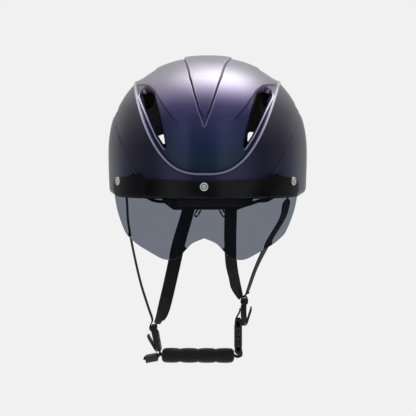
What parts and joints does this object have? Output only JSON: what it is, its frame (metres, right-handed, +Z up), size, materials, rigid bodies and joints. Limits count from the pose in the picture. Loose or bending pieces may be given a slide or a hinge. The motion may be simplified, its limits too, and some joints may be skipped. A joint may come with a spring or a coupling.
{
  "type": "bicycle helmet",
  "caption": "Glossy bicycle helmet with a lift-off smoke visor on magnets, foam liner, rear fit dial, strap dividers, padded chin strap and a side-release buckle.",
  "frame": {"origin": "centre of the head opening, in the rim plane", "axes": "+Z up through the crown, -Y to the front where the visor is, +X to the side of the buckle"},
  "size_m": [0.215, 0.2957, 0.3347],
  "materials": {
    "shell_paint": "lacquer that goes from lavender on the crown to dark blue on the brow",
    "foam_black": "moulded expanded foam with a fine bead texture",
    "trim_black": "satin moulded cover",
    "magnet_dark": "blackened magnet",
    "pad_cloth": "brushed cloth over foam",
    "cradle_black": "satin nylon",
    "dial_grey": "satin nylon with grip scallops",
    "pinion_grey": "acetal",
    "webbing_black": "flat woven webbing",
    "buckle_black": "fine-grained nylon",
    "pin_steel": "plain pin",
    "chin_cloth": "quilted cloth tube",
    "keeper_rubber": "moulded loop",
    "lens_smoke": "clear smoke sheet",
    "brow_black": "opaque black band",
    "rivet_metal": "domed head"
  },
  "bodies": {
    "helmet": {"outer_shell": "shell_paint", "eps_liner": "foam_black", "rim_trim": "trim_black", "shell_magnets": "magnet_dark", "brow_pad": "pad_cloth", "side_pads": "pad_cloth", "crown_pads": "pad_cloth", "front_band": "cradle_black", "headband_anchors": "cradle_black", "cradle_stem": "cradle_black", "nape_yoke": "cradle_black", "nape_pad": "pad_cloth", "dial_housing": "cradle_black", "strap_anchors_front": "buckle_black", "strap_anchors_rear": "buckle_black", "front_strap_left": "webbing_black", "front_strap_right": "webbing_black", "rear_strap_left": "webbing_black", "rear_strap_right": "webbing_black", "divider_right": "buckle_black", "lever_pin_right": "pin_steel", "buckle_webbing": "webbing_black", "buckle_socket": "buckle_black"},
    "dial": {"dial_knob": "dial_grey", "dial_pinion": "pinion_grey"},
    "headband_left": {"headband_left": "cradle_black"},
    "headband_right": {"headband_right": "cradle_black"},
    "visor": {"visor_lens": "lens_smoke", "visor_band": "brow_black", "visor_rivets": "rivet_metal"},
    "chin": {"divider_left": "buckle_black", "lever_pin_left": "pin_steel", "chin_webbing": "webbing_black", "chin_pad": "chin_cloth", "strap_tail": "webbing_black", "tail_keeper": "keeper_rubber", "buckle_plug": "buckle_black"},
    "lever_left": {"lever_left": "buckle_black"},
    "lever_right": {"lever_right": "buckle_black"},
    "release_front": {"release_front": "buckle_black"},
    "release_rear": {"release_rear": "buckle_black"}
  },
  "joints": [
    {"name": "visor_pull", "type": "slide", "parent": "helmet", "child": "visor", "axis": [0, -1, 0], "range_m": [0, 0.16]},
    {"name": "dial_turn", "type": "hinge", "parent": "helmet", "child": "dial", "pos_m": [0, 0.111, -0.0115], "axis": [0, 1, 0], "range_deg": [0, 90]},
    {"name": "headband_left_slide", "type": "slide", "parent": "helmet", "child": "headband_left", "axis": [1, 0, 0], "range_m": [0, 0.00785]},
    {"name": "headband_right_slide", "type": "slide", "parent": "helmet", "child": "headband_right", "axis": [-1, 0, 0], "range_m": [0, 0.0079]},
    {"name": "chin_swing", "type": "hinge", "parent": "helmet", "child": "chin", "pos_m": [-0.0595, -0.01, -0.145], "axis": [0, 1, 0], "range_deg": [0, 70]},
    {"name": "lever_left_turn", "type": "hinge", "parent": "chin", "child": "lever_left", "pos_m": [-0.05542, -0.01, -0.16814], "axis": [0, -1, 0], "range_deg": [-20, 60]},
    {"name": "lever_right_turn", "type": "hinge", "parent": "helmet", "child": "lever_right", "pos_m": [0.04091, -0.01, -0.13948], "axis": [0, 1, 0], "range_deg": [-20, 60]},
    {"name": "release_front_press", "type": "slide", "parent": "chin", "child": "release_front", "axis": [0, 1, 0], "range_m": [0, 0.0024], "stiffness_N_per_m": 800},
    {"name": "release_rear_press", "type": "slide", "parent": "chin", "child": "release_rear", "axis": [0, -1, 0], "range_m": [0, 0.0024], "stiffness_N_per_m": 800}
  ],
  "couplings": [
    {"joint": "dial_turn", "follows": "headband_left_slide", "rad_per_m": 200},
    {"joint": "headband_right_slide", "follows": "headband_left_slide", "ratio": 1},
    {"joint": "release_rear_press", "follows": "release_front_press", "ratio": 1}
  ]
}
